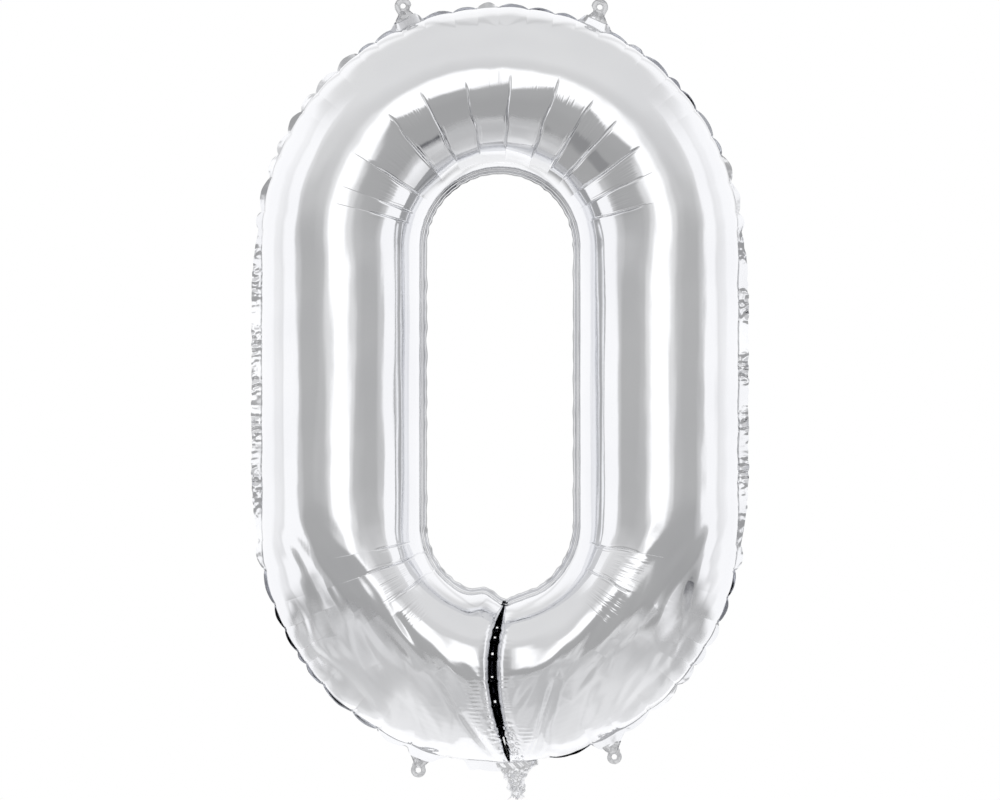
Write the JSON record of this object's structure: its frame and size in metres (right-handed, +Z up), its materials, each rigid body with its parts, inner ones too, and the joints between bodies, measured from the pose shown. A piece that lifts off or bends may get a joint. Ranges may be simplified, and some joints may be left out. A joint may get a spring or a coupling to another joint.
{
  "type": "foil number balloon",
  "caption": "Inflated silver foil balloon in the shape of the figure 0, with a sealed crinkled edge, a divided bottom, folding hanging ears and a filling neck with a flat valve.",
  "frame": {"origin": "centre of the whole balloon, ears and neck included", "axes": "+X to the right seen from the front, +Y to the back, +Z up along the figure"},
  "size_m": [0.556, 0.18, 0.9016],
  "materials": {
    "silver_foil": "metallised film, bright, lightly crinkled",
    "seal_layer": "fused clear film",
    "valve_film": "clear thin film",
    "release_coating": "matt printed coating"
  },
  "bodies": {
    "balloon": {"front_foil_panel": "silver_foil", "back_foil_panel": "silver_foil", "outer_heat_seal": "seal_layer", "hole_heat_seal": "seal_layer", "divider_heat_seal": "seal_layer", "valve_front_film": "valve_film", "valve_back_film": "valve_film", "valve_release_coating": "release_coating"},
    "ear_top_left": {"ear_top_left_front_ply": "silver_foil", "ear_top_left_back_ply": "silver_foil"},
    "ear_top_right": {"ear_top_right_front_ply": "silver_foil", "ear_top_right_back_ply": "silver_foil"},
    "ear_bottom_left": {"ear_bottom_left_front_ply": "silver_foil", "ear_bottom_left_back_ply": "silver_foil"},
    "ear_bottom_right": {"ear_bottom_right_front_ply": "silver_foil", "ear_bottom_right_back_ply": "silver_foil"},
    "neck": {"neck_front_ply": "silver_foil", "neck_back_ply": "silver_foil", "neck_side_seals": "seal_layer"}
  },
  "joints": [
    {"name": "ear_top_left_fold", "type": "hinge", "parent": "balloon", "child": "ear_top_left", "pos_m": [-0.107, 0, 0.42899], "axis": [0.9237, 0, 0.3831], "range_deg": [-90, 90], "stiffness_Nm_per_rad": 0.0002},
    {"name": "ear_top_right_fold", "type": "hinge", "parent": "balloon", "child": "ear_top_right", "pos_m": [0.11, 0, 0.42773], "axis": [0.9192, 0, -0.3938], "range_deg": [-90, 90], "stiffness_Nm_per_rad": 0.0002},
    {"name": "ear_bottom_left_fold", "type": "hinge", "parent": "balloon", "child": "ear_bottom_left", "pos_m": [-0.09, 0, -0.4024], "axis": [-0.9467, 0, 0.3222], "range_deg": [-90, 90], "stiffness_Nm_per_rad": 0.0002},
    {"name": "ear_bottom_right_fold", "type": "hinge", "parent": "balloon", "child": "ear_bottom_right", "pos_m": [0.126, 0, -0.38726], "axis": [-0.8925, 0, -0.4511], "range_deg": [-90, 90], "stiffness_Nm_per_rad": 0.0002},
    {"name": "neck_fold", "type": "hinge", "parent": "balloon", "child": "neck", "pos_m": [0.017, 0, -0.41678], "axis": [-0.9981, 0, -0.0609], "range_deg": [-90, 90], "stiffness_Nm_per_rad": 0.0006}
  ]
}
